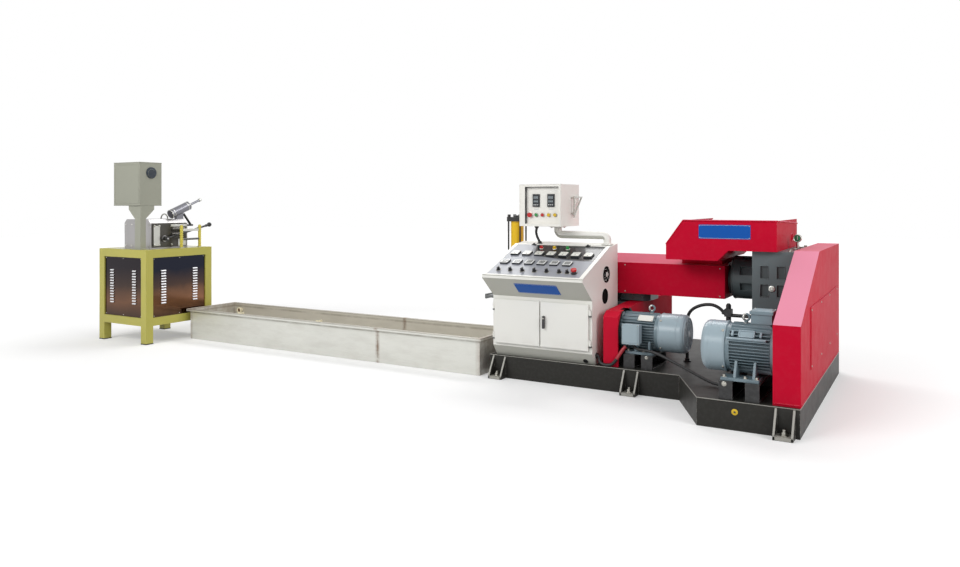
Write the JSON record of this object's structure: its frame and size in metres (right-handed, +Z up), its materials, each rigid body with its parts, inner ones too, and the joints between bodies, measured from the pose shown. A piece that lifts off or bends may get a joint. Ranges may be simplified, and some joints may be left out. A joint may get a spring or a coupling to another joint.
{
  "type": "plastic recycling machine",
  "caption": "Plastic recycling line: extruder with feed hopper, drives and console on a welded base, an open cooling trough and a strand cutter on a table.",
  "frame": {"origin": "on the floor under the middle of the extruder base", "axes": "+X along the line from the cutter to the drive end, +Y away from the operator, +Z up"},
  "size_m": [7.261, 2.43, 1.94],
  "materials": {
    "red_paint": "satin red enamel on sheet steel",
    "base_paint": "worn dark grey paint on welded plate",
    "motor_paint": "blue-grey enamel on a finned casting",
    "fan_paint": "light blue-grey enamel on pressed sheet",
    "gear_paint": "dark grey painted casting",
    "black_steel": "black paint",
    "tool_steel": "oiled machined steel",
    "off_white": "smooth off-white powder coat",
    "panel_grey": "grey panel sheet",
    "black_plastic": "matte black",
    "meter_white": "white dial under a clear front",
    "lamp_plastic": "coloured lens",
    "red_plastic": "red",
    "grille_steel": "bright wire",
    "cream": "cream powder coat",
    "cord_rubber": "black sheath",
    "stainless": "brushed sheet",
    "yellow_paint": "bright yellow enamel",
    "olive_paint": "olive yellow paint",
    "box_paint": "grey green paint"
  },
  "bodies": {
    "line": {"base_frame": "base_paint", "barrel_cover": "red_paint", "barrel_stand": "black_steel", "thrust_housing": "gear_paint", "cooling_pipe": "black_steel", "gearbox_housing": "gear_paint", "gearbox_gauge": "grille_steel", "feed_hopper": "red_paint", "feed_throat": "black_steel", "belt_guard_right": "red_paint", "guard_access_panel": "red_paint", "belt_guard_left": "red_paint", "motor_large_body": "motor_paint", "motor_large_fan_cover": "fan_paint", "motor_large_terminal_box": "fan_paint", "motor_large_stand": "black_steel", "motor_small_body": "motor_paint", "motor_small_fan_cover": "fan_paint", "motor_small_terminal_box": "fan_paint", "motor_small_stand": "black_steel", "lower_gearbox": "gear_paint", "lower_barrel_cover": "red_paint", "melt_transfer_block": "tool_steel", "screen_changer": "tool_steel", "hydraulic_cylinder": "yellow_paint", "die_head": "tool_steel", "console_cabinet": "off_white", "instrument_panel": "panel_grey", "panel_meters": "meter_white", "temperature_controllers": "black_plastic", "selector_knobs": "black_plastic", "pilot_lamps": "lamp_plastic", "emergency_stop": "red_plastic", "door_hinges": "tool_steel", "side_fan_grille": "grille_steel", "pendant_arm": "off_white", "pendant_box": "cream", "pendant_displays": "black_plastic", "pendant_buttons": "red_plastic", "pendant_handle": "black_plastic", "pendant_cable": "cord_rubber", "motor_cable": "cord_rubber", "motor_link_cable": "cord_rubber", "hydraulic_hose": "cord_rubber", "trough_shell": "stainless", "trough_guides": "olive_paint", "table_frame": "olive_paint", "table_panels": "stainless", "table_top": "stainless", "control_post": "box_paint", "control_box": "box_paint", "cutter_head": "stainless", "press_roll": "stainless", "strand_guide_posts": "yellow_paint"},
    "door_left": {"console_door_left": "off_white"},
    "door_right": {"console_door_right": "off_white"},
    "lever": {"cutter_lever": "black_steel"}
  },
  "joints": [
    {"name": "door_left_hinge", "type": "hinge", "parent": "line", "child": "door_left", "pos_m": [-1.238, -0.57, 0.4965], "axis": [0, 0, -1], "range_deg": [0, 110]},
    {"name": "door_right_hinge", "type": "hinge", "parent": "line", "child": "door_right", "pos_m": [-0.352, -0.57, 0.4965], "axis": [0, 0, 1], "range_deg": [0, 110]},
    {"name": "lever_pivot", "type": "hinge", "parent": "line", "child": "lever", "pos_m": [-5.28, -0.741, 1.108], "axis": [1, 0, 0], "range_deg": [0, 75]}
  ]
}
